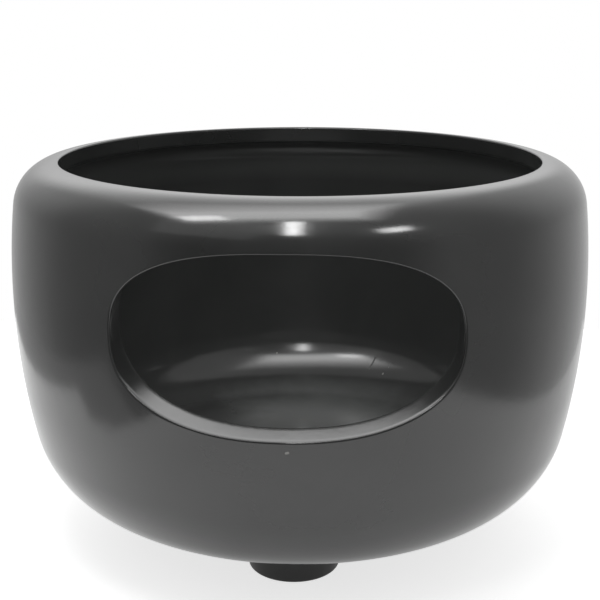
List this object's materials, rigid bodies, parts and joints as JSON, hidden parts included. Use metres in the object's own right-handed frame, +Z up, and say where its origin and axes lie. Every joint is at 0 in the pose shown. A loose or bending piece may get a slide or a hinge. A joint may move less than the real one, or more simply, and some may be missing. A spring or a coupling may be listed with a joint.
{
  "type": "furo brazier",
  "caption": "Round black bronze hearth bowl with a rolled-in shoulder, a wide mouth and an oval fire window, on stub feet; holds ash and charcoal under a tea kettle.",
  "frame": {"origin": "on the ground under the bowl's axis, level with the undersides of the feet", "axes": "+Z is up along the bowl's axis. The fire window and the front foot face -Y. +X is to the right as seen from the front."},
  "size_m": [0.303, 0.3013, 0.2007],
  "materials": {
    "black_bronze": "semi-gloss black patina on cast bronze",
    "screw_bronze": "dull dark bronze"
  },
  "bodies": {
    "root": {"furo_body": "black_bronze", "front_foot": "black_bronze", "rear_left_foot": "black_bronze", "rear_right_foot": "black_bronze", "foot_screws": "screw_bronze"}
  },
  "joints": []
}
